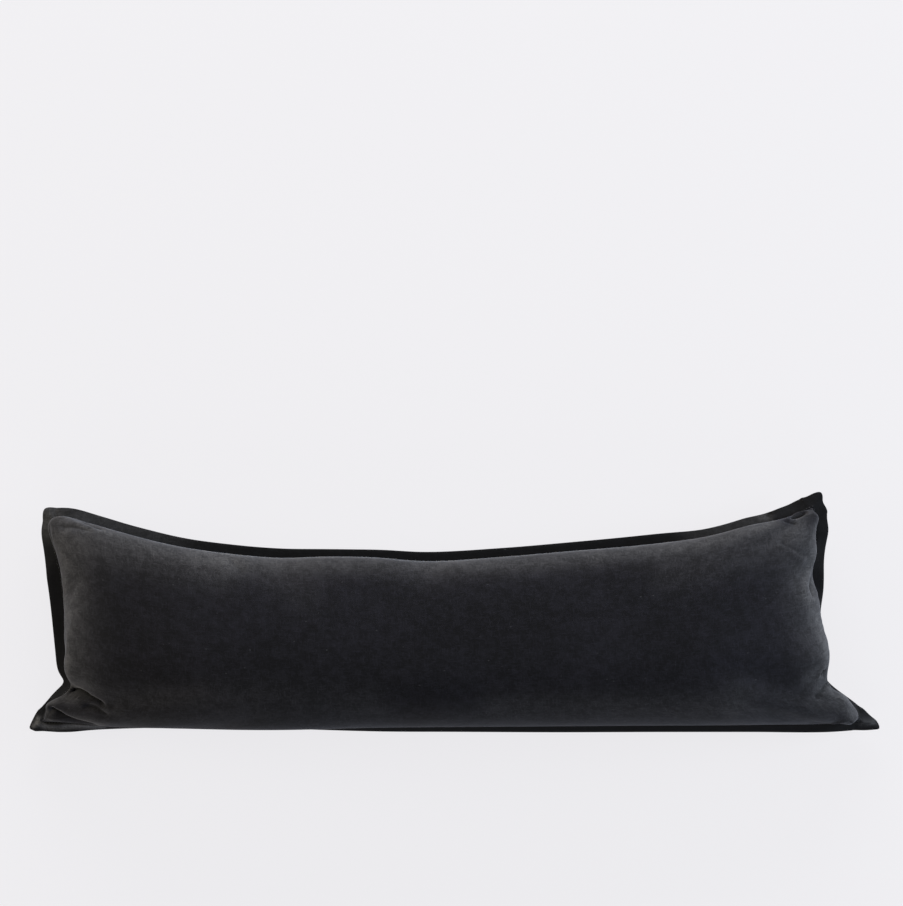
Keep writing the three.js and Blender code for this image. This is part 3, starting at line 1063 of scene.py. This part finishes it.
def makeVelvet(name, look, groups):
    material, tree, shader = startMaterial(name, look["sockets"])
    flat = tree.nodes.new("ShaderNodeUVMap")
    flat.uv_map = clothMap
    parts = {}
    for group in groups:
        node = tree.nodes.new("ShaderNodeGroup")
        node.node_tree = group
        tree.links.new(flat.outputs["UV"], node.inputs["Vector"])
        parts[group.name] = node.outputs[0]
    threads = addMath(tree, "MULTIPLY", parts["groundThreads"], look["threads"])
    shade = addMath(tree, "ADD", parts["brushedPile"], threads, clamp=True)
    # Painted light and sheen, as much as each point asks for, lighten the pile's own colour.
    paintedLightShare = addMath(tree, "ADD", shade, look["paintedLightEven"])
    paintedLightShare = addMath(tree, "MULTIPLY", addAttribute(tree, "paintedLightAndLay"), paintedLightShare)
    color = addMix(tree, shade, look["low"], look["high"])
    color = addMix(tree, paintedLightShare, color, look["paintedLightColor"])
    color = addMix(tree, parts["lintSpecks"], color, look["lint"])
    # Painted shade at the bottoms of the folds.
    color = addMix(tree, addAttribute(tree, "foldShade"), color, look["fold"])
    tree.links.new(color, shader.inputs["Base Color"])
    tree.links.new(addBump(tree, shade, look["bump"], look["pileHeight"]), shader.inputs["Normal"])
    return material


threadLook = {
    "low": (0.006, 0.006, 0.008, 1),
    "high": (0.020, 0.020, 0.024, 1),
    "grain": {"scale": 2600.0, "detail": 2.0},
    "grainRange": (0.3, 0.7),
    "bump": 0.3,
    "fibreHeight": 0.0002,
    "sockets": {"Roughness": 0.62, "Sheen Weight": 0.1},
}


def makeThread(look):
    material, tree, shader = startMaterial("charcoalThread", look["sockets"])
    place = tree.nodes.new("ShaderNodeTexCoord")
    fibres = addNoise(tree, place.outputs["Object"], **look["grain"])
    color = addMix(tree, addRange(tree, fibres, *look["grainRange"]), look["low"], look["high"])
    tree.links.new(color, shader.inputs["Base Color"])
    tree.links.new(addBump(tree, fibres, look["bump"], look["fibreHeight"]), shader.inputs["Normal"])
    return material


cushion = makeCushion(cushionLook)
flange = makeFlange(flangeLook)
seamAbove, seamBelow = seamLines(flange)
flange.vertex_groups.clear()
faceStitches = makeStitches("faceStitches", seamAbove, 1, flange, stitchLook)
backStitches = makeStitches("backStitches", seamBelow, -1, flange, stitchLook)
velvetGroups = [makeBrushing(brushingLook), makeThreading(threadingLook), makeLint(lintLook)]
paint(cushion, makeVelvet("charcoalVelvet", faceVelvet, velvetGroups))
paint(flange, makeVelvet("pressedShadedVelvet", flangeVelvet, velvetGroups))
thread = makeThread(threadLook)
paint(faceStitches, thread)
paint(backStitches, thread)
print("velvet and thread painted")
for piece in (cushion, flange, faceStitches, backStitches):
    print(piece.name, "has", sum(len(face.vertices) - 2 for face in piece.data.polygons), "triangles")


# The floor and the light.
stageSetup = {
    "floorSize": 12.0,
    "sockets": {
        "Base Color": (0.50, 0.50, 0.52, 1),
        "Roughness": 0.9,
        "Specular IOR Level": 0.1,
    },
    "paleColor": (0.93, 0.92, 0.945, 1),
    "evenness": 0.85,  # how much of the floor's light and shade the even pale tone covers
    "roomColor": (0.93, 0.95, 1.0, 1),
    "roomLight": 0.2,
}
lampSetups = [  # all turned towards the origin
    {"name": "topLamp", "place": (0, 3.4, 1.1), "size": (3.0, 1.0), "power": 150,
     "color": (1.0, 0.99, 0.98)},
    {"name": "lowLamp", "place": (0, -3.0, 1.6), "size": (3.0, 1.0), "power": 30,
     "color": (0.94, 0.96, 1.0)},
    {"name": "leftLamp", "place": (-3.2, 0.5, 0.9), "size": (1.2, 1.2), "power": 62,
     "color": (1.0, 0.90, 0.68)},
    {"name": "rightLamp", "place": (3.2, 0.5, 1.0), "size": (1.2, 1.4), "power": 112,
     "color": (0.80, 0.91, 1.0)},
]


def makeStage(setup):
    bm = bmesh.new()
    bmesh.ops.create_grid(bm, x_segments=1, y_segments=1, size=setup["floorSize"] / 2)
    mesh = bpy.data.meshes.new("floor")
    bm.to_mesh(mesh)
    bm.free()
    floor = addObject("floor", mesh)
    material, tree, shader = startMaterial("paleFloor", setup["sockets"])
    glow = tree.nodes.new("ShaderNodeEmission")
    glow.inputs["Color"].default_value = setup["paleColor"]
    rays = tree.nodes.new("ShaderNodeLightPath")
    seen = addMath(tree, "MAXIMUM", rays.outputs["Is Camera Ray"], rays.outputs["Is Glossy Ray"])
    seen = addMath(tree, "MAXIMUM", seen, rays.outputs["Is Transmission Ray"])
    mixed = tree.nodes.new("ShaderNodeMixShader")
    tree.links.new(addMath(tree, "MULTIPLY", seen, setup["evenness"]), mixed.inputs["Fac"])
    tree.links.new(shader.outputs["BSDF"], mixed.inputs[1])
    tree.links.new(glow.outputs["Emission"], mixed.inputs[2])
    tree.links.new(mixed.outputs["Shader"], tree.nodes["Material Output"].inputs["Surface"])
    mesh.materials.append(material)


def makeLamp(setup):
    lamp = bpy.data.lights.new(setup["name"], "AREA")
    lamp.shape = "RECTANGLE"
    lamp.size, lamp.size_y = setup["size"]
    lamp.energy = setup["power"]
    lamp.color = setup["color"]
    holder = addObject(setup["name"], lamp)
    holder.location = setup["place"]
    towards = Vector((0, 0, 0)) - Vector(setup["place"])
    holder.rotation_euler = towards.to_track_quat("-Z", "Y").to_euler()


def makeRoom(setup):
    world = bpy.data.worlds.new("room")
    scene.world = world
    world.use_nodes = True
    background = world.node_tree.nodes["Background"]
    background.inputs["Color"].default_value = setup["roomColor"]
    background.inputs["Strength"].default_value = setup["roomLight"]


makeStage(stageSetup)
for lampSetup in lampSetups:
    makeLamp(lampSetup)
makeRoom(stageSetup)
scene.view_settings.view_transform = "Standard"
print("floor and lamps placed")
